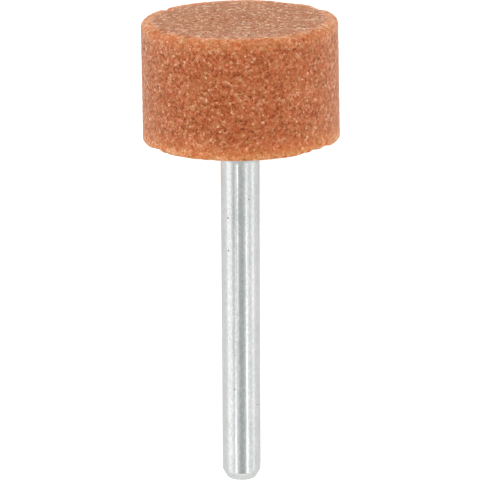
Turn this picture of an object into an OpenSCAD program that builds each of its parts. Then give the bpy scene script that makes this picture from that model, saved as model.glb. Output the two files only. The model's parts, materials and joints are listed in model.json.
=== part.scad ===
// Mounted point: an abrasive head set with cement on a plain steel shank.
// All sizes are in millimetres.
// It lies as it comes to rest, on the rim of the head and the tip of the shank:
// the free face of the head looks towards +Y and the tip of the shank towards -Y.

/* [Head] */

// Diameter of the abrasive head at its free face
head_d = 15.9; // [8:0.05:30]
// How much wider the head is at its shank face
head_flare = 0.12; // [0:0.02:1]
// Length of the abrasive head along its axis
head_length = 9.75; // [6:0.05:25]
// Radius of the edge at the free face
rim_radius = 0.45; // [0.2:0.05:1.5]
// Radius of the edge at the shank face
foot_rim = 0.15; // [0.1:0.05:1]
// Lean of the head to one side of the shank, in degrees
head_lean = 0.7; // [0:0.1:2]

/* [Shank] */

// Diameter of the shank that the collet grips
shank_d = 3.175; // [2.3:0.005:4]
// Length of the shank outside the head
shank_reach = 29.2; // [15:0.1:60]
// Length of the chamfer at the tip, along the shank
tip_chamfer = 0.7; // [0.2:0.05:1.5]
// Depth of the chamfer at the tip, across the shank
tip_inset = 0.4; // [0.1:0.05:0.8]

/* [Seat] */

// Thickness of abrasive between the end of the hole and the free face
seat_floor = 2.4; // [1:0.1:4]
// Thickness of the cement round the shank and past its end
cement_gap = 0.2; // [0.05:0.01:0.4]
// Depth of the keying grooves round the buried end
groove_depth = 0.25; // [0.1:0.05:0.5]
// Width of each keying groove where it opens
groove_width = 0.6; // [0.3:0.05:1]
// Distance from one keying groove to the next
groove_pitch = 1.4; // [1.2:0.1:2.5]
// Chamfer at the buried end
seat_chamfer = 0.2; // [0.05:0.05:0.4]

/* [Hidden] */

$fn = 96;
// The wall of the head meets its rims this far inside them, so that they cross
hair = 0.001;
head_r = head_d / 2;
foot_r = head_r + head_flare / 2;
shank_r = shank_d / 2;
total_length = shank_reach + head_length;
seat_r = shank_r + cement_gap;
seat_depth = head_length - seat_floor;
shank_length = shank_reach + seat_depth - cement_gap;
groove_room = shank_length - shank_reach - seat_chamfer - groove_width;
groove_count = floor(groove_room / groove_pitch) + 1;

// Chips in the rims, one row each: side (1 free face, -1 shank face),
// angle from the underside, length along the rim and depth
chips = [
    [1, -52.3, 1.1, 0.29],
    [1, 31.9, 5, 0.12],
    [1, 58.6, 2.65, 0.16],
    [-1, 140.3, 1.1, 0.12],
    [-1, 132.9, 1.5, 0.235],
    [-1, 123.2, 2.35, 0.18],
    [-1, -121.7, 2.8, 0.105],
    [-1, -123, 1.45, 0.185],
];
// Angle of a chip's floor, from square to the wall towards square to the face
chip_face = 70;

// The lying pose: the floor touches one edge of the tip and the shank-side rim
tip_edges = [[0, shank_r - tip_inset], [tip_chamfer, shank_r]];
function lying_tilt(edge) =
    let (run = shank_reach + foot_rim - edge[0], drop = foot_r - foot_rim - edge[1])
    atan2(drop, run) + asin(foot_rim / norm([run, drop]));
rest_tilt = min([for (edge = tip_edges) lying_tilt(edge)]);
rest_lift = max([for (edge = tip_edges) edge[1] * cos(rest_tilt) - edge[0] * sin(rest_tilt)]);
tip_end_y = min([for (edge = tip_edges) edge[0] * cos(rest_tilt) - edge[1] * sin(rest_tilt)]);
head_end_y = total_length * cos(rest_tilt)
    + (head_r - rim_radius) * norm([sin(rest_tilt), cos(rest_tilt) * sin(head_lean)])
    + rim_radius * (1 - cos(rest_tilt) * cos(head_lean));
rest_shift = -(tip_end_y + head_end_y) / 2;
// The head reaches further out on the side that it leans to
foot_x = (foot_r - foot_rim) * cos(head_lean) + foot_rim;
foot_swing = (head_length - foot_rim) * sin(head_lean);
free_x = (head_r - rim_radius) * cos(head_lean) - rim_radius * sin(head_lean) + rim_radius;
far_x = foot_x + foot_swing;
near_x = max(foot_x - foot_swing, free_x);
rest_side = (near_x - far_x) / 2;

// From upright, tip at the origin and head above it, to the lying pose
module lie_down() {
    translate([rest_side, rest_shift, rest_lift]) rotate([rest_tilt - 90, 0, 0]) children();
}

// The head turned on the middle of its free face, as it was set
module lean_over() {
    translate([0, 0, total_length]) rotate([0, -head_lean, 0]) translate([0, 0, -total_length]) children();
}

// Half the outline of the head: a slightly flared wall, both rims rounded
module head_outline() {
    foot = [foot_r - foot_rim, foot_rim];
    top = [head_r - rim_radius, head_length - rim_radius];
    flare = atan2(foot[0] - top[0], top[1] - foot[1]) - asin((rim_radius - foot_rim) / norm(foot - top));
    out = [cos(flare), sin(flare)];
    polygon([
        [0, 0],
        [foot[0], 0],
        foot + (foot_rim - hair) * out,
        top + (rim_radius - hair) * out,
        [top[0], head_length],
        [0, head_length],
    ]);
    translate(foot) circle(foot_rim);
    translate(top) circle(rim_radius);
}

// The space that the hole takes out of the head, up from the shank face
module seat(below) {
    translate([0, 0, shank_reach - below]) cylinder(r = seat_r, h = seat_depth + below);
}

// A scalloped chip across a rim, as a flake leaves it
module chip(side, angle, length, depth) {
    scoop = (length * length / 4 + depth * depth) / (2 * depth);
    rim = side > 0 ? rim_radius : foot_rim;
    out = rim + scoop - depth;
    ring = (side > 0 ? head_r : foot_r) - rim;
    along = side > 0 ? total_length - rim : shank_reach + rim;
    rotate([0, 0, 90 - angle])
        translate([ring + out * cos(chip_face), 0, along + side * out * sin(chip_face)])
            rotate([0, -side * chip_face, 0]) cylinder(r = scoop, h = head_r, center = true);
}

// Half the section of one keying groove, narrower at its floor
module groove_section() {
    polygon([
        [shank_r - groove_depth, -groove_width / 4],
        [shank_r - groove_depth, groove_width / 4],
        [shank_r + groove_depth, groove_width * 3 / 4],
        [shank_r + groove_depth, -groove_width * 3 / 4],
    ]);
}

// The shank upright: chamfered tip, plain wall, grooves on the buried end
module shank_solid() {
    difference() {
        rotate_extrude() polygon([
            [0, 0],
            [shank_r - tip_inset, 0],
            [shank_r, tip_chamfer],
            [shank_r, shank_length - seat_chamfer],
            [shank_r - seat_chamfer, shank_length],
            [0, shank_length],
        ]);
        for (i = [0 : 1 : groove_count - 1])
            translate([0, 0, shank_reach + groove_width / 2 + i * groove_pitch])
                rotate_extrude() groove_section();
    }
}

// Vitrified abrasive, one moulded piece with a blind hole
module abrasive_head() {
    color([0.71, 0.42, 0.28]) lie_down() difference() {
        lean_over() difference() {
            translate([0, 0, shank_reach]) rotate_extrude() head_outline();
            for (c = chips) chip(c[0], c[1], c[2], c[3]);
        }
        seat(1);
    }
}

// Plain round steel
module shank() {
    color([0.78, 0.79, 0.8]) lie_down() shank_solid();
}

// Cement that fills the hole round the buried end
module cement() {
    color([0.62, 0.58, 0.52]) lie_down() difference() {
        seat(0);
        shank_solid();
    }
}

abrasive_head();
shank();
cement();
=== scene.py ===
"""A mounted point in the looks of its photograph: a grained abrasive head, a drawn steel shank,
the cement between them and a pale studio."""

import itertools
import json
import math

import bpy
import numpy as np
from bpy.props import FloatProperty, FloatVectorProperty, PointerProperty
from mathutils import Matrix, Vector


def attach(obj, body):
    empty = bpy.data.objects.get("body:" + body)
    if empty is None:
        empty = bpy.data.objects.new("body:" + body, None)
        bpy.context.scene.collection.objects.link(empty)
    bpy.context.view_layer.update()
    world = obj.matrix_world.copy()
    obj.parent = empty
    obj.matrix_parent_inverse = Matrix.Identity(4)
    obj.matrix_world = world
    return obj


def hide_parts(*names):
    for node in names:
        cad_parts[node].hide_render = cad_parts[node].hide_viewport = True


bl_info = {
    "name": "Mounted Point",
    "version": (1, 0, 0),
    "blender": (4, 5, 0),
    "location": "View3D > Sidebar > Mounted Point",
    "description": "Builds a grained mounted point on a steel shank, with its floor, light and camera",
    "category": "Object",
}

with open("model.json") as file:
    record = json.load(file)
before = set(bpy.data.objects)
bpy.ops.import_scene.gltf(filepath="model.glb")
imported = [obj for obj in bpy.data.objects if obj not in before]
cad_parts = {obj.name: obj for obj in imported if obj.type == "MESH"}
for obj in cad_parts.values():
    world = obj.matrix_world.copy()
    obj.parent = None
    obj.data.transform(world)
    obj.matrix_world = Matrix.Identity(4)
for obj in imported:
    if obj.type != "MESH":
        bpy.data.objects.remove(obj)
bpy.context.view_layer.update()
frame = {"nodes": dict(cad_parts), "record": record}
MM = 0.001

# The shank's mount gives the axis: ALONG runs from the tip to the head, UNDER points to the floor side
GRIP = frame["record"]["mounts"][0]
SIDE = np.array([1.0, 0.0, 0.0])
ALONG = -np.array(GRIP["axis"]) / np.linalg.norm(GRIP["axis"])
UNDER = np.cross(ALONG, SIDE)
TILT = math.atan2(ALONG[2], ALONG[1])
TIP_CHAMFER = 0.7 * MM
TIP = np.array(GRIP["pos_m"]) - ALONG * (GRIP["dims"]["length_mm"] * MM / 2 + TIP_CHAMFER)

# Chips in the rims: side (1 free face, -1 shank face), angle from the underside, length and depth in mm
CHIPS = [
    (1, -52.3, 1.1, 0.29),
    (1, 31.9, 5.0, 0.12),
    (1, 58.6, 2.65, 0.16),
    (-1, 140.3, 1.1, 0.12),
    (-1, 132.9, 1.5, 0.235),
    (-1, 123.2, 2.35, 0.18),
    (-1, -121.7, 2.8, 0.105),
    (-1, -123.0, 1.45, 0.185),
]
# Angle of a chip's floor, from square to the wall towards square to the face
CHIP_FACE = math.radians(70)

# Shares of the relief that a grain sinks by: its own height, its slope and the groove along its border
COARSE_SINK = (0.32, 0.45, 0.3)
FINE_SINK = (0.18, 0.15, 0.2)
# The most that these come to, what counts as the deepest hollow, and what the middle of an end has
MOST_SUNK, DEEPEST, AT_MIDDLE = 1.1, 1.6, 0.3
# Width of that groove in grains, and size of the fine grains in coarse ones
GROOVE = 0.3
FINE_SIZE = 0.55
# Coarse grains whose second number lies past these are missing, and the rims lose some more
LOST = (0.86, 0.9)
LOST_AT_RIM = 0.06
# How far inside a missing grain's border its gap begins and is full, in grains, then the gap's depth in
# shares of the relief and what a rim adds to it
LOST_EDGE = (0.05, 0.3)
LOST_DEPTH, LOST_DEPTH_AT_RIM = 0.7, 0.8
# Share of the normal along the axis that makes a place part of the free face
FACE_NORMAL = (0.9, 1.0)
# How much deeper the relief is on the free face, and how much shallower at the rims
FACE_RELIEF, RIM_RELIEF = 0.5, 0.45
# How pale wear and painted light make a grain at a rim: the least, and what the grain's third number adds
PALE_LEAST, PALE_MORE = 0.55, 0.9
# Flakes lost from the free rim: their size, and where they begin and are full by the height above the
# axis in radii, the normal's share along the axis, the flake's own number and the way in from its border
FLAKE_SIZE = 0.9 * MM
FLAKE_HEIGHT, FLAKE_NORMAL = (0.1, 0.5), (0.02, 0.4)
FLAKE_NUMBER, FLAKE_EDGE = (0.25, 1.0), (0.0, 0.2)
# Numbers that start each pattern of cells, and what is added for the numbers that belong to a cell
COARSE_SEED, FINE_SEED, FLAKE_SEED = 11, 23, 41
OWN_SEED = 7
# Large odd numbers and shifts that turn a cell's coordinates into evenly spread numbers
HASH_AXES = np.array([73856093, 19349663, 83492791], np.uint32)
HASH_STEP = 2654435769
HASH_ROUNDS = ((16, 2246822519), (13, 3266489917))
HASH_LAST_SHIFT = 16
HASH_RANGE = 2**32

# How far wear reaches from the free rim and from the shank's rim, and how far the latter's painted glow of
# floor light does
FREE_WEAR, FOOT_WEAR, FOOT_PAINTED_GLOW = 0.42 * MM, 0.6 * MM, 1.7 * MM
# How far from the blind hole the shank face gets its full grain
HOLE_EDGE = 0.4 * MM

# Radius of the free face's first ring in mesh steps, and how far past its length a chip may bite in
# rim radii
FIRST_RING, CHIP_REACH = 0.7, 3
# Points round a rim, along the blind hole and across its end
RIM_POINTS, HOLE_ROWS, HOLE_RINGS = 8, 12, 8
# Points round an edge of the tip, along the shank's wall and round the shank
EDGE_POINTS, WALL_ROWS, SHANK_COLUMNS = 9, 60, 256
# First rings of the shank's tip and buried end in radii, and where its wall starts in tip chamfers
TIP_RING, END_RING, WALL_START = 0.3, 0.4, 1.6
# Chamfer at the buried end of the shank, and the angle past which its edges stay sharp
SEAT_CHAMFER = 0.2 * MM
SHARP_EDGE = math.radians(50)

# Small rust pits in the shank: turn from its top in degrees, distance from the tip and radius in mm
PITS = [
    (-39.4, 22.7, 0.075),
    (-38.0, 19.95, 0.075),
    (25.8, 24.3, 0.06),
    (-20.8, 8.1, 0.06),
    (56.4, 6.55, 0.06),
]
# Where the mark of a pit starts to fade and where it ends, in radii of the pit
PIT_FADE = (0.5, 1.4)
# The collar by the head, rougher and darkened as a painted shade under the head, in mm: its length, its
# slant across the shank, and how far its edge wanders and fades
COLLAR, COLLAR_SLANT, COLLAR_WANDER, COLLAR_FADE = 1.8, 0.05, 0.5, 0.1

# Strip lights: the shares of the shank's reach that their mirrored lines run between, the turns from
# its top where the lines show there in degrees, width in metres and brightness
STRIPS = {
    "strip_low_left": ((-2.0, 0.4), (-17.5, -16.0), 0.06, 1.3),
    "strip_high_left": ((0.55, 3.0), (-8.5, -8.5), 0.05, 1.4),
    "strip_right": ((-2.0, 0.72), (18.0, 18.0), 0.072, 1.4),
}
# How far out from the shank they stand, in metres
STRIP_DISTANCE = 0.6
# Side panels: side of the part and brightness, then the place of the right one and their size in metres
PANELS = {"panel_left": (-1, 1.6), "panel_right": (1, 1.45)}
PANEL_PLACE = np.array([0.55, 0.3, 0.16])
PANEL_SIZE = (0.5, 0.3)
SKY_STRENGTH = 1.84
# Half the side of the square floor, and the nearest and farthest that the camera shows, in metres
FLOOR_HALF = 3.0
CLIP_NEAR, CLIP_FAR = 0.01, 50.0
# Width of the camera's sensor in mm
SENSOR_WIDTH = 36.0


class HeadSettings(bpy.types.PropertyGroup):
    """Sizes and colours of the abrasive head."""

    diameter: FloatProperty(name="Diameter", description="Diameter over the grains at the free face",
                            default=15.9 * MM, min=0.001, unit="LENGTH", precision=5)
    flare: FloatProperty(name="Flare", description="How much wider the head is at the shank face",
                         default=0.12 * MM, min=0.0, unit="LENGTH", precision=5)
    length: FloatProperty(name="Length", description="Length along the axis",
                          default=9.75 * MM, min=0.001, unit="LENGTH", precision=5)
    rim: FloatProperty(name="Free rim", description="Radius of the rim at the free face",
                       default=0.45 * MM, min=0.0001, unit="LENGTH", precision=5)
    foot_rim: FloatProperty(name="Shank rim", description="Radius of the rim at the shank face",
                            default=0.15 * MM, min=0.0001, unit="LENGTH", precision=5)
    lean: FloatProperty(name="Lean", description="Lean of the head to one side of the shank",
                        default=math.radians(0.7), subtype="ANGLE")
    seat_radius: FloatProperty(name="Seat radius", description="Radius of the blind hole",
                               default=1.7875 * MM, min=0.0001, unit="LENGTH", precision=5)
    seat_depth: FloatProperty(name="Seat depth", description="Depth of the blind hole",
                              default=7.35 * MM, min=0.0001, unit="LENGTH", precision=5)
    grain: FloatProperty(name="Grain size", description="Size of the coarse grains",
                         default=0.3 * MM, min=0.00005, unit="LENGTH", precision=6)
    relief: FloatProperty(name="Relief", description="Depth of the hollows between grains",
                          default=0.06 * MM, min=0.0, unit="LENGTH", precision=6)
    flake: FloatProperty(name="Flakes", description="Depth of the flakes lost from the free rim's upper side",
                         default=0.2 * MM, min=0.0, unit="LENGTH", precision=6)
    mesh_step: FloatProperty(name="Mesh step", description="Distance from one vertex to the next",
                             default=0.116 * MM, min=0.00005, unit="LENGTH", precision=6)
    # The darkest colour: down in the pores, and where the hollows get their painted shade
    pore: FloatVectorProperty(name="Pores", description="Colour down in the pores", subtype="COLOR",
                              default=(0.18, 0.024, 0.004), min=0.0, max=1.0)
    bond: FloatVectorProperty(name="Bond", description="Colour of the fired bond", subtype="COLOR",
                              default=(0.378, 0.09, 0.024), min=0.0, max=1.0)
    body: FloatVectorProperty(name="Grains", description="Colour of most grains", subtype="COLOR",
                              default=(0.485, 0.143, 0.051), min=0.0, max=1.0)
    pale: FloatVectorProperty(name="Pale grains", description="Colour of the palest grains", subtype="COLOR",
                              default=(0.74, 0.365, 0.205), min=0.0, max=1.0)
    # A painted highlight: the nearly white colour that a few clear grains get in place of their glints
    painted_glint: FloatVectorProperty(name="Glints", description="Colour of the few clear grains", subtype="COLOR",
                               default=(1.0, 0.82, 0.58), min=0.0, max=1.0)


class ShankSettings(bpy.types.PropertyGroup):
    """Sizes and colour of the steel shank."""

    diameter: FloatProperty(name="Diameter", description="Diameter in the collet",
                            default=2 * GRIP["dims"]["r_mm"] * MM, min=0.0005, unit="LENGTH", precision=6)
    reach: FloatProperty(name="Reach", description="Length outside the head",
                         default=29.2 * MM, min=0.001, unit="LENGTH", precision=5)
    buried: FloatProperty(name="Buried", description="Length set in the head",
                          default=7.15 * MM, min=0.001, unit="LENGTH", precision=5)
    tip_inset: FloatProperty(name="Tip inset", description="Depth of the tip's chamfer across the shank",
                             default=0.4 * MM, min=0.0, unit="LENGTH", precision=5)
    soften: FloatProperty(name="Soften", description="How far the chamfer's edges are rounded off",
                          default=0.14 * MM, min=0.0, unit="LENGTH", precision=5)
    groove_depth: FloatProperty(name="Groove depth", description="Depth of the keying grooves",
                                default=0.25 * MM, min=0.0, unit="LENGTH", precision=5)
    groove_width: FloatProperty(name="Groove width", description="Width of a keying groove where it opens",
                                default=0.6 * MM, min=0.0001, unit="LENGTH", precision=5)
    groove_pitch: FloatProperty(name="Groove pitch", description="Distance between keying grooves",
                                default=1.4 * MM, min=0.0001, unit="LENGTH", precision=5)
    steel: FloatVectorProperty(name="Steel", description="Colour of the bright steel", subtype="COLOR",
                               default=(0.68, 0.69, 0.685), min=0.0, max=1.0)


class StageSettings(bpy.types.PropertyGroup):
    """Floor and camera."""

    floor: FloatVectorProperty(name="Floor", description="Colour of the floor", subtype="COLOR",
                               default=(0.845, 0.842, 0.83), min=0.0, max=1.0)
    floor_glow: FloatProperty(name="Floor glow", description="Light that the floor adds to its own in view",
                              default=0.5, min=0.0)
    distance: FloatProperty(name="Distance", description="Camera to the middle of the view",
                            default=260.4 * MM, min=0.01, unit="LENGTH")
    lens: FloatProperty(name="Lens", description="Focal length", default=238.6, min=1.0, unit="CAMERA")
    shift: FloatProperty(name="Shift", description="Shift of the picture to the side, in picture widths",
                         default=-0.0011, precision=4)
    aim: FloatProperty(name="Aim", description="Distance from the tip to the middle of the view",
                       default=20.49 * MM, unit="LENGTH", precision=5)
    elevation: FloatProperty(name="Elevation", description="View above the plane of the head's faces",
                             default=math.radians(16.06), subtype="ANGLE")
    roll: FloatProperty(name="Roll", description="Lean of the part in the picture",
                        default=math.radians(0.3), subtype="ANGLE")


class PointSettings(bpy.types.PropertyGroup):
    """Everything that the sidebar shows."""

    head: PointerProperty(type=HeadSettings)
    shank: PointerProperty(type=ShankSettings)
    stage: PointerProperty(type=StageSettings)


def to_row(local):
    """Local points (across, towards the floor, along the axis from the tip) in the row frame: TIP plus
    each coordinate times its axis."""
    return TIP + local @ np.stack([SIDE, UNDER, ALONG])


def smooth(lo, hi, x):
    """0 below lo, 1 above hi and an even S between them."""
    t = np.clip((x - lo) / (hi - lo), 0, 1)
    return t * t * (3 - 2 * t)


def cell_numbers(cells, seed):
    """Three numbers from 0 to 1 for each whole-number cell: its coordinates are multiplied by large odd
    numbers, joined, mixed by shifts and products, and scaled."""
    starts = (seed * 3 + np.arange(3)) * HASH_STEP % HASH_RANGE
    joined = np.bitwise_xor.reduce(cells.astype(np.int64).astype(np.uint32) * HASH_AXES, axis=-1)
    mixed = joined[..., None] + starts.astype(np.uint32)
    for shift, factor in HASH_ROUNDS:
        mixed ^= mixed >> np.uint32(shift)
        mixed *= np.uint32(factor)
    mixed ^= mixed >> np.uint32(HASH_LAST_SHIFT)
    return mixed.astype(np.float64) / HASH_RANGE


def grain_cells(points, size, seed):
    """The nearest of the points strewn one to each cube of the given size, for every place at once.
    Returns the distance to it and to the second nearest in cube sizes, three numbers that belong to it,
    and the way to it."""
    q = points / size
    base = np.floor(q)
    near = np.full(len(q), np.inf)
    second = near.copy()
    owner = np.zeros_like(q)
    way = np.zeros_like(q)
    for step in itertools.product((-1, 0, 1), repeat=3):
        cell = base + step
        d = cell + cell_numbers(cell, seed) - q
        dist = np.sqrt((d * d).sum(1))
        closer = dist < near
        second = np.where(closer, near, np.minimum(second, dist))
        near = np.where(closer, dist, near)
        owner[closer] = cell_numbers(cell[closer], seed + OWN_SEED)
        way[closer] = d[closer]
    return near, second, owner, way


def grain_relief(points, size, seed, shares):
    """How far grains of one size sink: each stands at its own height with its own slope, with a groove
    along its border, and each of the three counts by its share. Also returns how far a place lies from
    its grain's border, and the grain's three numbers."""
    near, second, own, way = grain_cells(points, size, seed)
    slope = (way * (own - 0.5)).sum(1) * 2
    border = 1 - smooth(0.0, GROOVE, second - near)
    by_height, by_slope, by_border = shares
    return by_height * own[:, 0] + by_slope * np.abs(slope) + by_border * border, second - near, own


def sweep(radius, along, columns):
    """An outline carried round the axis, in the shape (row, column, xyz): radius times the sine and the
    cosine of evenly spaced turns, and the place along the axis."""
    turn = np.arange(columns) * 2 * np.pi / columns
    r, h = radius[:, None], along[:, None]
    return np.stack(np.broadcast_arrays(r * np.sin(turn), r * np.cos(turn), h), -1)


def closed_revolve(name, rows, ends):
    """A closed mesh from rows of points round an axis, in the shape (row, column, xyz): neighbouring rows
    are joined by quads, each row closes on itself, and the first and last rows close on one end each."""
    n, m, _ = rows.shape
    i, j = np.meshgrid(np.arange(n - 1), np.arange(m), indexing="ij")
    k = (j + 1) % m
    quads = np.stack([i * m + j, i * m + k, (i + 1) * m + k, (i + 1) * m + j], -1).reshape(-1, 4)
    col = np.arange(m)
    turn = (col + 1) % m
    top = np.stack([np.full(m, n * m), turn, col], -1)
    end = np.stack([np.full(m, n * m + 1), (n - 1) * m + col, (n - 1) * m + turn], -1)
    points = np.concatenate([rows.reshape(-1, 3), ends])
    loops = np.concatenate([quads.ravel(), top.ravel(), end.ravel()])
    sizes = np.concatenate([np.full(len(quads), 4), np.full(2 * m, 3)])
    starts = np.concatenate([[0], np.cumsum(sizes)[:-1]])
    mesh = bpy.data.meshes.new(name)
    mesh.vertices.add(len(points))
    mesh.vertices.foreach_set("co", points.astype(np.float32).ravel())
    mesh.loops.add(len(loops))
    mesh.loops.foreach_set("vertex_index", loops.astype(np.int32))
    mesh.polygons.add(len(sizes))
    mesh.polygons.foreach_set("loop_start", starts.astype(np.int32))
    mesh.polygons.foreach_set("loop_total", sizes.astype(np.int32))
    mesh.update(calc_edges=True)
    mesh.validate()
    mesh.shade_smooth()
    return mesh


def store(mesh, name, values, ends):
    """Keeps one number for each vertex, the two ends last, under a name that the material reads."""
    numbers = np.concatenate([values, ends]).astype(np.float32)
    mesh.attributes.new(name, "FLOAT", "POINT").data.foreach_set("value", numbers)


def place(name, mesh, material, node):
    """Makes the piece for a node of the frame: at the origin, on the one body, in place of that node."""
    mesh.materials.append(material)
    piece = bpy.data.objects.new(name, mesh)
    bpy.context.scene.collection.objects.link(piece)
    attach(piece, "root")
    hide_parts(node)


def head_outline(head, reach):
    """Half the head's outline, from the middle of the free face round both rims to the end of the blind
    hole: straight runs and quarter circles, about one point to each mesh step, on a wall that widens
    evenly towards the shank face. Returns radius, place along the axis, the outward normal in those two,
    how grainy each point is, how near to a rim, and how near to the shank's rim in a wider reach, where
    light bounced from the floor is painted as a glow."""
    radius, rim, foot_rim, step = head.diameter / 2, head.rim, head.foot_rim, head.mesh_step
    foot = radius + head.flare / 2
    top, low, hole_end = reach + head.length, reach, reach + head.seat_depth
    wall_length = head.length - rim - foot_rim
    turn = np.linspace(np.pi / 2, 0, RIM_POINTS)
    sin, cos = np.sin(turn), np.cos(turn)
    flat = np.arange(step * FIRST_RING, radius - rim, step)
    wall = np.linspace(top - rim, low + foot_rim, int(wall_length / step) + 1)[1:-1]
    widened = radius + (foot - radius) * (top - rim - wall) / wall_length
    under = np.arange(foot - foot_rim, head.seat_radius, -step)[1:]
    hole = np.linspace(low, hole_end, HOLE_ROWS)
    end = np.linspace(head.seat_radius, 0, HOLE_RINGS)[1:-1]
    runs = [
        (flat, top, 0, 1, 1),
        (radius - rim + rim * cos, top - rim + rim * sin, cos, sin, 1),
        (widened, wall, 1, 0, 1),
        (foot - foot_rim + foot_rim * sin, low + foot_rim - foot_rim * cos, sin, -cos, 1),
        (under, low, 0, -1, smooth(0, HOLE_EDGE, under - head.seat_radius)),
        (head.seat_radius, hole, -1, 0, 0),
        (end, hole_end, 0, -1, 0),
    ]
    columns = [np.concatenate(column) for column in zip(*(np.broadcast_arrays(*run) for run in runs))]
    to_top = np.hypot(columns[0] - (radius - rim), columns[1] - (top - rim)) - rim
    to_low = np.hypot(columns[0] - (foot - foot_rim), columns[1] - (low + foot_rim)) - foot_rim
    at_rim = np.maximum(1 - smooth(0, FREE_WEAR, to_top), 1 - smooth(0, FOOT_WEAR, to_low))
    return *columns, at_rim, 1 - smooth(0, FOOT_PAINTED_GLOW, to_low)


def scoop_chips(points, head, reach):
    """Each chip is the mark of a cylinder laid across the rim that bites it to its depth over its length:
    points inside the cylinder move straight out from its axis to its surface, inwards on the head."""
    out = points.copy()
    for side, angle, length, depth in CHIPS:
        length, depth, angle = length * MM, depth * MM, math.radians(angle)
        scoop = (length * length / 4 + depth * depth) / (2 * depth)
        rim = head.rim if side > 0 else head.foot_rim
        ring = head.diameter / 2 + (0 if side > 0 else head.flare / 2) - rim
        along = reach + head.length - rim if side > 0 else reach + rim
        radial = np.array([math.sin(angle), math.cos(angle), 0.0])
        axial = np.array([0.0, 0.0, side])
        outward = radial * math.cos(CHIP_FACE) + axial * math.sin(CHIP_FACE)
        axis = radial * math.sin(CHIP_FACE) - axial * math.cos(CHIP_FACE)
        d = out - radial * ring - np.array([0, 0, along])
        close = np.linalg.norm(d, axis=1) < length + CHIP_REACH * rim
        d -= outward * (rim + scoop - depth)
        d -= np.outer(d @ axis, axis)
        dist = np.linalg.norm(d, axis=1)
        inside = close & (dist < scoop)
        out[inside] += d[inside] * (scoop / dist[inside] - 1)[:, None]
    return out


def flake_depth(points, normals, rim, head):
    """Depth of the flakes lost from the upper side of the free rim: each cell has its own depth, fading
    towards its border, away from the rim, down the sides of the head and on its wall."""
    near, second, own, _ = grain_cells(points, FLAKE_SIZE, FLAKE_SEED)
    upper = smooth(*FLAKE_HEIGHT, -2 * points[:, 1] / head.diameter) * smooth(*FLAKE_NORMAL, normals[:, 2])
    flakes = rim * upper * smooth(*FLAKE_NUMBER, own[:, 0]) * smooth(*FLAKE_EDGE, second - near)
    return flakes * head.flake


def lean_over(points, head, reach):
    """The head turned about the middle of its free face, to one side: x cos a - h sin a and
    h cos a + x sin a, with h the height from that face."""
    x, h = points[:, 0], points[:, 2] - reach - head.length
    sin, cos = math.sin(head.lean), math.cos(head.lean)
    return np.stack([x * cos - h * sin, points[:, 1], h * cos + x * sin + reach + head.length], -1)


def head_mesh(head, reach):
    """The outline carried round the axis, scooped by the chips, then sunk along its normals by two sizes
    of grain and by the flakes. A few coarse grains are missing, and more of them at the rims. The relief
    is deeper on the free face and shallower at the rims. All but the blind hole leans."""
    radius, along, n_out, n_along, grainy, at_rim, painted_foot_glow = head_outline(head, reach)
    columns = int(np.pi * head.diameter / head.mesh_step)
    points = sweep(radius, along, columns).reshape(-1, 3)
    normals = sweep(n_out, n_along, columns).reshape(-1, 3)
    weight, rim, foot = (np.repeat(row, columns) for row in (grainy, at_rim, painted_foot_glow * grainy))
    coarse, inside, own = grain_relief(points, head.grain, COARSE_SEED, COARSE_SINK)
    fine, _, _ = grain_relief(points, head.grain * FINE_SIZE, FINE_SEED, FINE_SINK)
    lost = smooth(*LOST, own[:, 1] + LOST_AT_RIM * rim) * smooth(*LOST_EDGE, inside)
    sunk = np.clip(coarse + fine, 0, MOST_SUNK) + lost * (LOST_DEPTH + LOST_DEPTH_AT_RIM * rim)
    face = smooth(*FACE_NORMAL, normals[:, 2]) * (1 - rim)
    depth = sunk * weight * (head.relief * (1 + FACE_RELIEF * face - RIM_RELIEF * rim))
    depth += flake_depth(points, normals, rim, head)
    shaped = scoop_chips(points, head, reach) - normals * depth[:, None]
    shaped = np.where(weight[:, None] > 0, lean_over(shaped, head, reach), shaped)
    rows = to_row(shaped).reshape(len(radius), columns, 3)
    top, hole_end = reach + head.length - AT_MIDDLE * head.relief, reach + head.seat_depth
    mesh = closed_revolve("abrasive_head", rows, to_row(np.array([[0, 0, top], [0, 0, hole_end]])))
    worn = rim * weight * (PALE_LEAST + PALE_MORE * own[:, 2])
    # Painted shade: how deeply a place is sunk, which darkens its colour in the hollows between grains
    store(mesh, "hollow", np.clip(sunk * weight / DEEPEST, 0, 1), (AT_MIDDLE, AT_MIDDLE))
    # Partly wear and partly painted light: the rims are painted paler where their rounding faces brighter
    # light
    store(mesh, "rim", np.clip(worn, 0, 1), (AT_MIDDLE, AT_MIDDLE))
    # Painted light: a glow towards the shank face that stands in for light bounced up from the floor
    store(mesh, "foot", foot, (0.0, 0.0))
    store(mesh, "face", face, (1.0, 0.0))
    return mesh


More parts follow.
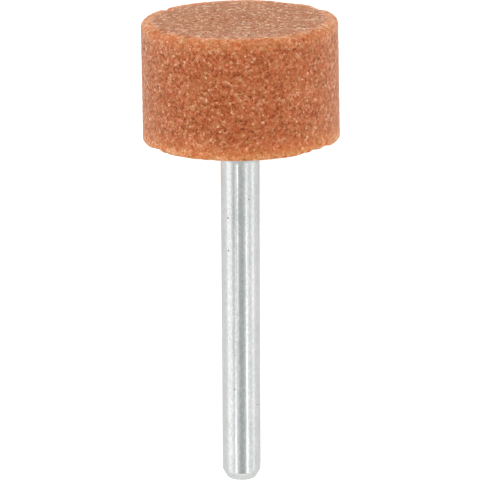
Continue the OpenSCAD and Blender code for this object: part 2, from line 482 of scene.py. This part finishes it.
def shank_outline(shank):
    """Half the shank's outline from the tip to the buried end: straight runs, each edge of the tip as a
    curve (1-t)^2 a + 2t(1-t) corner + t^2 b, and the keying grooves as trapezia."""
    r, total = shank.diameter / 2, shank.reach + shank.buried
    corners = np.array([[0.0, 0.0], [r - shank.tip_inset, 0.0], [r, TIP_CHAMFER], [r, shank.reach]])
    t = np.linspace(0, 1, EDGE_POINTS)[:, None]
    tip = [np.array([[r * TIP_RING, 0.0]])]
    for before, at, after in zip(corners, corners[1:], corners[2:]):
        a = at + (before - at) / np.linalg.norm(before - at) * shank.soften
        b = at + (after - at) / np.linalg.norm(after - at) * shank.soften
        tip.append((1 - t) ** 2 * a + 2 * t * (1 - t) * at + t * t * b)
    along = np.linspace(TIP_CHAMFER * WALL_START, shank.reach, WALL_ROWS)[:-1]
    wall = np.stack([np.full_like(along, r), along], -1)
    count = int((shank.buried - SEAT_CHAMFER - shank.groove_width) // shank.groove_pitch) + 1
    starts = shank.reach + np.arange(count)[:, None] * shank.groove_pitch
    across = (starts + shank.groove_width * np.array([0, 0.25, 0.75, 1])).ravel()
    floor = r - shank.groove_depth
    grooves = np.stack([np.tile([r, floor, floor, r], count), across], -1)
    end = np.array([[r, total - SEAT_CHAMFER], [r - SEAT_CHAMFER, total], [r * END_RING, total]])
    return np.concatenate([*tip, wall, grooves, end])


def shank_mesh(shank):
    """The outline carried round the axis, from the buried end to the tip, with the grooves' edges sharp."""
    radius, along = shank_outline(shank)[::-1].T
    ends = np.array([[0, 0, shank.reach + shank.buried], [0, 0, 0.0]])
    mesh = closed_revolve("shank", to_row(sweep(radius, along, SHANK_COLUMNS)), to_row(ends))
    mesh.set_sharp_from_angle(angle=SHARP_EDGE)
    return mesh


def feed(tree, node, inputs):
    """Links each input of a node if it is given a socket, or else sets it to the value."""
    for key, value in inputs.items():
        if isinstance(value, bpy.types.NodeSocket):
            tree.links.new(value, node.inputs[key])
        else:
            node.inputs[key].default_value = value


def add(tree, kind, inputs=None, **settings):
    """Adds a node: settings are its properties, and its inputs are linked or set."""
    node = tree.nodes.new(kind)
    for key, value in settings.items():
        setattr(node, key, value)
    feed(tree, node, inputs or {})
    return node


def maths(tree, operation, a, b=0.0):
    """One Math node, and its result."""
    return add(tree, "ShaderNodeMath", {0: a, 1: b}, operation=operation).outputs[0]


def vectors(tree, operation, a, b):
    """One Vector Math node, and its result: a number for a dot product or a distance, or else a vector."""
    second = "Scale" if operation == "SCALE" else 1
    node = add(tree, "ShaderNodeVectorMath", {0: a, second: b}, operation=operation)
    return node.outputs["Value" if operation in ("DOT_PRODUCT", "DISTANCE") else "Vector"]


def weighed(tree, *terms):
    """The sum of values, each times its share."""
    result = None
    for value, share in terms:
        part = value if share == 1 else maths(tree, "MULTIPLY", value, share)
        result = part if result is None else maths(tree, "ADD", result, part)
    return result


def stretch(tree, value, start, stop, low=0.0, high=1.0, **settings):
    """One Map Range node, and its result: start to stop becomes low to high, and both ends hold."""
    inputs = {"Value": value, "From Min": start, "From Max": stop, "To Min": low, "To Max": high}
    return add(tree, "ShaderNodeMapRange", inputs, **settings).outputs[0]


def noise(tree, at, scale, detail, roughness=0.5):
    """One noise texture, and its value."""
    inputs = {"Vector": at, "Scale": scale, "Detail": detail, "Roughness": roughness}
    return add(tree, "ShaderNodeTexNoise", inputs).outputs["Fac"]


def mix(tree, factor, a, b):
    """One Mix node for numbers, and its result."""
    return add(tree, "ShaderNodeMix", {0: factor, 2: a, 3: b}, data_type="FLOAT").outputs[0]


def blend(tree, factor, a, b, mode="MIX"):
    """One Mix node for colours, and its result."""
    return add(tree, "ShaderNodeMix", {0: factor, 6: a, 7: b}, data_type="RGBA", blend_type=mode).outputs[2]


def ramp(tree, value, stops):
    """A colour ramp with the given (place, colour) stops, and its result."""
    node = add(tree, "ShaderNodeValToRGB", {"Fac": value})
    elements = node.color_ramp.elements
    while len(elements) < len(stops):
        elements.new(0.5)
    for element, (at, colour) in zip(elements, stops):
        element.position = at
        element.color = (*colour[:3], 1.0)
    return node.outputs[0]


def group(name, inputs, outputs):
    """An empty shader node group with named float or vector sockets, and its two ends."""
    tree = bpy.data.node_groups.new(name, "ShaderNodeTree")
    for label, kind, value in inputs:
        socket = tree.interface.new_socket(name=label, in_out="INPUT", socket_type=kind)
        if value is not None:
            socket.default_value = value
    for label, kind in outputs:
        tree.interface.new_socket(name=label, in_out="OUTPUT", socket_type=kind)
    return tree, tree.nodes.new("NodeGroupInput"), tree.nodes.new("NodeGroupOutput")


def grain_group():
    """Crystals of one size: every cell of a warped Voronoi pattern has its own tone, and its own height
    and slope. Places are in millimetres."""
    found = bpy.data.node_groups.get("Crystal grains")
    if found:
        return found
    number, vector = "NodeSocketFloat", "NodeSocketVector"
    tree, start, end = group(
        "Crystal grains",
        [("Place", vector, None), ("Size", number, 0.3), ("Warp", number, 0.3)],
        [("Tone", number), ("Height", number)],
    )
    at, size, warp = (start.outputs[name] for name in ("Place", "Size", "Warp"))
    middle = (0.5, 0.5, 0.5)
    scale = maths(tree, "DIVIDE", 1.0, size)
    wobble = add(tree, "ShaderNodeTexNoise", {"Vector": at, "Scale": scale, "Detail": 2.0}).outputs["Color"]
    off = vectors(tree, "SUBTRACT", wobble, middle)
    push = vectors(tree, "SCALE", off, maths(tree, "MULTIPLY", size, warp))
    warped = vectors(tree, "ADD", at, push)
    cells = add(tree, "ShaderNodeTexVoronoi", {"Vector": warped, "Scale": scale}, feature="F1").outputs
    tones = add(tree, "ShaderNodeSeparateColor", {0: cells["Color"]}).outputs
    lean = vectors(tree, "SUBTRACT", cells["Color"], middle)
    way = vectors(tree, "SUBTRACT", warped, cells["Position"])
    slope = maths(tree, "DIVIDE", vectors(tree, "DOT_PRODUCT", lean, way), size)
    feed(tree, end, {"Tone": tones[0], "Height": weighed(tree, (slope, 1), (tones[1], 0.5))})
    return tree


def grains(tree, at, size, warp):
    """Crystal grains of one size in millimetres, and their outputs."""
    inputs = {"Place": at, "Size": size, "Warp": warp}
    return add(tree, "ShaderNodeGroup", inputs, node_tree=grain_group()).outputs


def bump(tree, height, strength, distance):
    """One Bump node, and its normal. The distance is in metres."""
    inputs = {"Strength": strength, "Distance": distance, "Height": height}
    return add(tree, "ShaderNodeBump", inputs).outputs[0]


def millimetres(tree):
    """The place on the piece in millimetres, from Object coordinates."""
    return vectors(tree, "SCALE", add(tree, "ShaderNodeTexCoord").outputs["Object"], 1 / MM)


def new_material(name):
    """A node material with only its Principled shader."""
    material = bpy.data.materials.new(name)
    material.use_nodes = True
    return material, material.node_tree, material.node_tree.nodes["Principled BSDF"]


def abrasive_material(head):
    """Fired abrasive: two sizes of crystal in a rust-brown bond, darker down in the hollows as a painted
    shade.
    The tint drifts from red to tan, is paler at the rims, partly from wear and partly as painted light, glows
    towards the shank face as painted floor light with a painted highlight on its last edge, and is darker on
    the free face as a painted shade; that face has pale, glassy flecks that are partly painted highlights.
    Some grains elsewhere are glassy too, a few carry a nearly white painted highlight, and the dusty
    surface is hazy at a low angle."""
    material, tree, shader = new_material("fired abrasive")
    at = millimetres(tree)
    # Crystals of two sizes in mm, then noise by its scale in 1/mm and its detail
    coarse, fine = (grains(tree, at, size, 0.5) for size in (0.22, 0.11))
    dust, blotch, drift = (noise(tree, at, *scale) for scale in ((9.0, 3.0), (0.45, 2.0), (1.9, 2.0)))
    hollow, rim, foot, face = (
        add(tree, "ShaderNodeAttribute", attribute_name=name).outputs["Fac"]
        for name in ("hollow", "rim", "foot", "face")
    )
    # The tone, lowered in the hollows as a painted shade, and calmer where the rims are worn and painted
    # lighter, towards the shank face and on the free face
    tone = weighed(
        tree, (coarse["Tone"], 0.38), (fine["Tone"], 0.28), (dust, 0.3), (blotch, 0.25), (hollow, -0.35)
    )
    worn = maths(tree, "ADD", maths(tree, "MAXIMUM", rim, foot), face)
    tone = mix(tree, maths(tree, "MULTIPLY", worn, 0.3), tone, 0.64)
    colour = ramp(tree, tone, [(0.1, head.pore), (0.36, head.bond), (0.6, head.body), (0.9, head.pale)])
    # Tints, each under its mask
    tan = stretch(tree, drift, 0.52, 0.7, high=0.75)
    red = stretch(tree, drift, 0.3, 0.47, low=0.65, high=0.0)
    # Painted highlight: a narrow bright edge at the shank's rim, where backlight spills round it
    painted_edge_light = maths(tree, "POWER", foot, 16.0)
    for mask, tint in (
        (tan, (0.92, 1.18, 1.12)),
        (red, (1.08, 0.8, 0.72)),
        # Partly wear and partly painted light: the rims paler
        (rim, (1.15, 1.34, 1.4)),
        # Painted light: the glow of floor light towards the shank face
        (foot, (1.21, 1.23, 1.14)),
        (painted_edge_light, (0.98, 1.12, 1.28)),
        # Painted shade: the free face darker in colour against the light and haze that fall on it at a low
        # angle
        (face, (0.715, 0.745, 0.765)),
    ):
        colour = blend(tree, mask, colour, (*tint, 1), "MULTIPLY")
    # Pale flecks of the free face, partly pale grains and partly painted highlights, then clear grains with
    # painted highlights and glassy grains
    fleck = stretch(tree, coarse["Tone"], 0.76, 0.95, high=0.95)
    flecked = maths(tree, "MULTIPLY", face, fleck)
    colour = blend(tree, maths(tree, "MULTIPLY", flecked, 0.5), colour, (*head.pale, 1))
    # Painted highlights: a few clear grains, more of them at the rims, get a nearly white colour that stands
    # in for glints
    painted_sparkle = stretch(tree, fine["Tone"], 0.955, 0.985)
    clear = maths(tree, "MULTIPLY", painted_sparkle, maths(tree, "GREATER_THAN", coarse["Tone"], 0.8))
    clear = maths(tree, "MULTIPLY", clear, maths(tree, "ADD", 0.36, maths(tree, "MULTIPLY", rim, 0.2)))
    glassy = stretch(tree, coarse["Tone"], 0.6, 0.95, high=0.55)
    height = weighed(tree, (coarse["Height"], 1), (fine["Height"], 0.6))
    feed(tree, shader, {
        "Base Color": blend(tree, clear, colour, (*head.painted_glint, 1)),
        "Roughness": stretch(tree, fine["Tone"], 0.0, 1.0, 0.7, 0.45),
        "Normal": bump(tree, height, 0.8, 0.05 * MM),
        "Coat Weight": mix(tree, face, glassy, fleck),
        "Coat Roughness": 0.22,
        "IOR": 1.3,
        "Specular IOR Level": 0.3,
        "Sheen Weight": 0.31,
        "Sheen Roughness": 0.5,
        "Sheen Tint": (1.0, 0.84, 0.6, 1),
    })
    return material


def pit_mask(tree, at, shank):
    """1 in the rust pits of the shank and 0 elsewhere: each pit fades with the distance from its middle."""
    pit = 0.0
    r = shank.diameter / 2
    for turn, along, radius in PITS:
        turn = math.radians(turn)
        middle = to_row(np.array([r * math.sin(turn), -r * math.cos(turn), along * MM])) / MM
        distance = vectors(tree, "DISTANCE", at, middle)
        start, stop = (radius * share for share in PIT_FADE)
        mark = stretch(tree, distance, start, stop, 1.0, 0.0, interpolation_type="SMOOTHSTEP")
        pit = maths(tree, "MAXIMUM", pit, mark)
    return pit


def steel_material(shank):
    """Drawn bright steel: fine lines along the shank that bend its reflections, a faint mottle, a few rust
    pits, and by the head a rougher collar with an uneven edge, darkened as a painted shade under the head."""
    material, tree, shader = new_material("drawn steel")
    at = millimetres(tree)
    turned = add(tree, "ShaderNodeMapping", {"Vector": at, "Rotation": (-TILT, 0, 0)}).outputs[0]
    # Places that count little along the shank, so that patterns on them are drawn out that way
    drawn, waves = (vectors(tree, "MULTIPLY", turned, (1.0, share, 1.0)) for share in (0.04, 0.5))
    lines = noise(tree, drawn, 2.4, 3.0, 0.6)
    mottle = noise(tree, waves, 6.0, 3.0, 0.7)
    cloud = noise(tree, waves, 0.8, 3.0)
    pit = pit_mask(tree, at, shank)
    axes = add(tree, "ShaderNodeSeparateXYZ", {0: turned}).outputs
    length = weighed(tree, (axes["Y"], 1), (axes["X"], COLLAR_SLANT), (cloud, COLLAR_WANDER))
    edge = float(TIP @ ALONG + shank.reach) / MM - COLLAR + COLLAR_WANDER / 2
    collar = stretch(tree, length, edge - COLLAR_FADE, edge + COLLAR_FADE)
    dull, bright = ([c * level for c in shank.steel] for level in (0.85, 1.07))
    tint = ramp(tree, mottle, [(0.3, dull), (0.7, bright)])
    clouded = ramp(tree, cloud, [(0.35, (0.93, 0.94, 0.94)), (0.65, (1.0, 1.0, 1.0))])
    tint = blend(tree, 1.0, tint, clouded, "MULTIPLY")
    # Painted shade: the collar by the head is darkened where the head shades the shank
    tint = blend(tree, collar, tint, (0.84, 0.84, 0.83, 1), "MULTIPLY")
    rough = stretch(tree, lines, 0.3, 0.7, 0.12, 0.22)
    height = weighed(tree, (lines, 1), (mottle, 0.12), (pit, -1.5))
    feed(tree, shader, {
        "Base Color": blend(tree, maths(tree, "MULTIPLY", pit, 0.8), tint, (0.1, 0.09, 0.08, 1)),
        "Metallic": 1.0,
        "Roughness": weighed(tree, (rough, 1), (collar, 0.25)),
        "Normal": bump(tree, height, 0.8, 0.012 * MM),
    })
    return material


def cement_material():
    """Set cement: grey-brown, matt and finely speckled."""
    material, tree, shader = new_material("set cement")
    fine = grains(tree, millimetres(tree), 0.07, 0.6)
    tones = [(0.0, (0.2, 0.16, 0.12)), (0.6, (0.34, 0.28, 0.22)), (1.0, (0.48, 0.42, 0.35))]
    feed(tree, shader, {
        "Base Color": ramp(tree, fine["Tone"], tones),
        "Roughness": 0.85,
        "Normal": bump(tree, fine["Height"], 0.4, 0.02 * MM),
    })
    return material


class POINT_OT_abrasive_head(bpy.types.Operator):
    """Make the grained abrasive head"""

    bl_idname = "mounted_point.abrasive_head"
    bl_label = "Abrasive head"

    def execute(self, context):
        settings = context.scene.mounted_point
        mesh = head_mesh(settings.head, settings.shank.reach)
        place("grained_head", mesh, abrasive_material(settings.head), "abrasive_head")
        return {"FINISHED"}


class POINT_OT_steel_shank(bpy.types.Operator):
    """Make the drawn steel shank"""

    bl_idname = "mounted_point.steel_shank"
    bl_label = "Steel shank"

    def execute(self, context):
        shank = context.scene.mounted_point.shank
        place("drawn_shank", shank_mesh(shank), steel_material(shank), "shank")
        return {"FINISHED"}


class POINT_OT_cement_seat(bpy.types.Operator):
    """Give the cement in the seat its finish"""

    bl_idname = "mounted_point.cement_seat"
    bl_label = "Cement seat"

    def execute(self, context):
        mesh = frame["nodes"]["cement"].data
        mesh.materials.clear()
        mesh.materials.append(cement_material())
        return {"FINISHED"}


def view_from(stage):
    """The middle of the view, and the way from there to the camera: straight up, leant towards the head by
    what the elevation exceeds the part's own tilt."""
    lean = stage.elevation - TILT
    return TIP + ALONG * stage.aim, np.array([0, math.sin(lean), math.cos(lean)])


def mirrored(settings, share, turn):
    """Where a ray from the camera meets the shank, at a share of its reach and a turn from its top in
    degrees, and the way it leaves: r = 2(n.v)n - v, with the normal n and the way v to the camera."""
    aim, back = view_from(settings.stage)
    turn = math.radians(turn)
    normal = math.sin(turn) * SIDE - math.cos(turn) * UNDER
    at = TIP + ALONG * settings.shank.reach * share + normal * settings.shank.diameter / 2
    sight = aim + back * settings.stage.distance - at
    sight /= np.linalg.norm(sight)
    return at, 2 * (normal @ sight) * normal - sight


def sky(world, settings):
    """A white tent, brighter towards the horizon and past the head, with a dim seam on each side of the
    shank, a dim opening where the top of the shank mirrors it, and a smaller one for its left side near
    the head. Each is a ramp of levels: on the height of a direction, on its way along the part and across
    it, and on the cosine of its angle from the middle of an opening. The openings are a little cool:
    their red is the level to a power above 1."""
    world.use_nodes = True
    tree = world.node_tree
    way = add(tree, "ShaderNodeTexCoord").outputs["Generated"]
    axes = add(tree, "ShaderNodeSeparateXYZ", {0: way}).outputs
    across, ends = (stretch(tree, axes[axis], -1.0, 1.0) for axis in "XY")
    top, left = (
        vectors(tree, "DOT_PRODUCT", way, mirrored(settings, share, turn)[1])
        for share, turn in ((-1.2, 2.0), (2.7, -20.0))
    )
    left_seam = [(0.1, 1.0), (0.15, 0.89), (0.19, 0.89), (0.24, 1.0)]
    right_seam = [(0.85, 1.0), (0.89, 0.76), (0.94, 0.76), (0.97, 1.0)]
    light = (1.0, 1.0, 1.0, 1.0)
    for value, red, stops in (
        (axes["Z"], 1.0, [(0.0, 1.0), (0.34, 0.96), (0.5, 0.86), (0.7, 0.8), (1.0, 0.76)]),
        (ends, 1.0, [(0.0, 0.72), (0.1, 0.68), (0.2, 0.78), (0.48, 0.78), (0.7, 0.86), (1.0, 0.94)]),
        (across, 1.0, left_seam + right_seam),
        (top, 1.07, [(0.79, 1.0), (0.866, 0.92), (0.927, 0.76), (0.961, 0.62), (0.985, 0.52), (1.0, 0.48)]),
        (left, 1.05, [(0.956, 1.0), (0.982, 0.52)]),
    ):
        colours = [(at, (level ** red, level, level)) for at, level in stops]
        light = blend(tree, 1.0, light, ramp(tree, value, colours), "MULTIPLY")
    feed(tree, tree.nodes["Background"], {"Color": light, "Strength": SKY_STRENGTH})


def soft_light(name, middle, run, size, brightness):
    """A rectangular light that faces the part: its middle, the way it runs, and its width and length in
    metres. Its power is brightness times pi times its area."""
    out = middle - run * (middle @ run)
    out /= np.linalg.norm(out)
    data = bpy.data.lights.new(name, "AREA")
    data.shape = "RECTANGLE"
    data.size, data.size_y = size
    data.energy = brightness * math.pi * data.size * data.size_y
    lamp = bpy.data.objects.new(name, data)
    turned = Matrix(np.stack([np.cross(run, out), run, out], 1).tolist()).to_4x4()
    lamp.matrix_world = Matrix.Translation(middle) @ turned
    lamp.visible_camera = False
    bpy.context.scene.collection.objects.link(lamp)


def strip_light(name, settings, shares, turns, width, brightness):
    """A long soft light that the shank mirrors as one bright line, from one share of its reach to another.
    The light runs through the points some way out along the rays that are mirrored at the line's ends."""
    rays = [mirrored(settings, share, turn) for share, turn in zip(shares, turns)]
    ends = [at + STRIP_DISTANCE * way for at, way in rays]
    length = np.linalg.norm(ends[1] - ends[0])
    soft_light(name, (ends[0] + ends[1]) / 2, (ends[1] - ends[0]) / length, (width, length), brightness)


def make_floor(stage):
    """A wide pale square that glows a little for the camera, so that it fades to white."""
    h = FLOOR_HALF
    mesh = bpy.data.meshes.new("floor")
    mesh.from_pydata([(-h, -h, 0), (h, -h, 0), (h, h, 0), (-h, h, 0)], [], [(0, 1, 2, 3)])
    material, tree, shader = new_material("pale floor")
    seen = add(tree, "ShaderNodeLightPath").outputs["Is Camera Ray"]
    feed(tree, shader, {
        "Base Color": (*stage.floor, 1),
        "Roughness": 0.9,
        "Emission Color": (1, 1, 1, 1),
        "Emission Strength": maths(tree, "MULTIPLY", seen, stage.floor_glow),
    })
    mesh.materials.append(material)
    floor = bpy.data.objects.new("floor", mesh)
    bpy.context.scene.collection.objects.link(floor)


def make_camera(stage):
    """A camera at the photograph's angle: it looks at the middle of the view, rolled by the part's lean."""
    aim, back = (Vector(v) for v in view_from(stage))
    right = Matrix.Rotation(-stage.roll, 3, back) @ Vector((1, 0, 0))
    turned = Matrix((right, back.cross(right), back)).transposed().to_4x4()
    data = bpy.data.cameras.new("camera")
    data.sensor_width = SENSOR_WIDTH
    data.lens = stage.lens
    data.shift_x = stage.shift
    data.clip_start, data.clip_end = CLIP_NEAR, CLIP_FAR
    camera = bpy.data.objects.new("camera", data)
    camera.matrix_world = Matrix.Translation(aim + back * stage.distance) @ turned
    bpy.context.scene.collection.objects.link(camera)
    bpy.context.scene.camera = camera


class POINT_OT_studio(bpy.types.Operator):
    """Make the floor, the light and the camera"""

    bl_idname = "mounted_point.studio"
    bl_label = "Studio"

    def execute(self, context):
        settings = context.scene.mounted_point
        make_floor(settings.stage)
        context.scene.world = bpy.data.worlds.new("tent")
        sky(context.scene.world, settings)
        for name, values in STRIPS.items():
            strip_light(name, settings, *values)
        upright = np.array([0.0, 0.0, 1.0])
        for name, (side, brightness) in PANELS.items():
            soft_light(name, PANEL_PLACE * (side, 1, 1), upright, PANEL_SIZE, brightness)
        context.scene.view_settings.view_transform = "Standard"
        make_camera(settings.stage)
        return {"FINISHED"}


class POINT_PT_sidebar(bpy.types.Panel):
    """Sizes, colours and steps of the mounted point"""

    bl_idname = "POINT_PT_sidebar"
    bl_label = "Mounted Point"
    bl_space_type = "VIEW_3D"
    bl_region_type = "UI"
    bl_category = "Mounted Point"

    def draw(self, context):
        settings = context.scene.mounted_point
        for title, values in (("Head", settings.head), ("Shank", settings.shank), ("Stage", settings.stage)):
            box = self.layout.box()
            box.label(text=title)
            for key in values.__annotations__:
                box.prop(values, key)
        for operator in OPERATORS:
            self.layout.operator(operator.bl_idname)


OPERATORS = [POINT_OT_abrasive_head, POINT_OT_steel_shank, POINT_OT_cement_seat, POINT_OT_studio]
CLASSES = [HeadSettings, ShankSettings, StageSettings, PointSettings, *OPERATORS, POINT_PT_sidebar]


def register():
    """Makes the classes known to Blender, and gives the scene its settings."""
    for cls in CLASSES:
        bpy.utils.register_class(cls)
    bpy.types.Scene.mounted_point = PointerProperty(type=PointSettings)


def unregister():
    """Takes back what register did."""
    del bpy.types.Scene.mounted_point
    for cls in reversed(CLASSES):
        bpy.utils.unregister_class(cls)


def main():
    """Runs every step in order."""
    register()
    bpy.ops.mounted_point.abrasive_head()
    bpy.ops.mounted_point.steel_shank()
    bpy.ops.mounted_point.cement_seat()
    bpy.ops.mounted_point.studio()


if __name__ == "__main__":
    main()
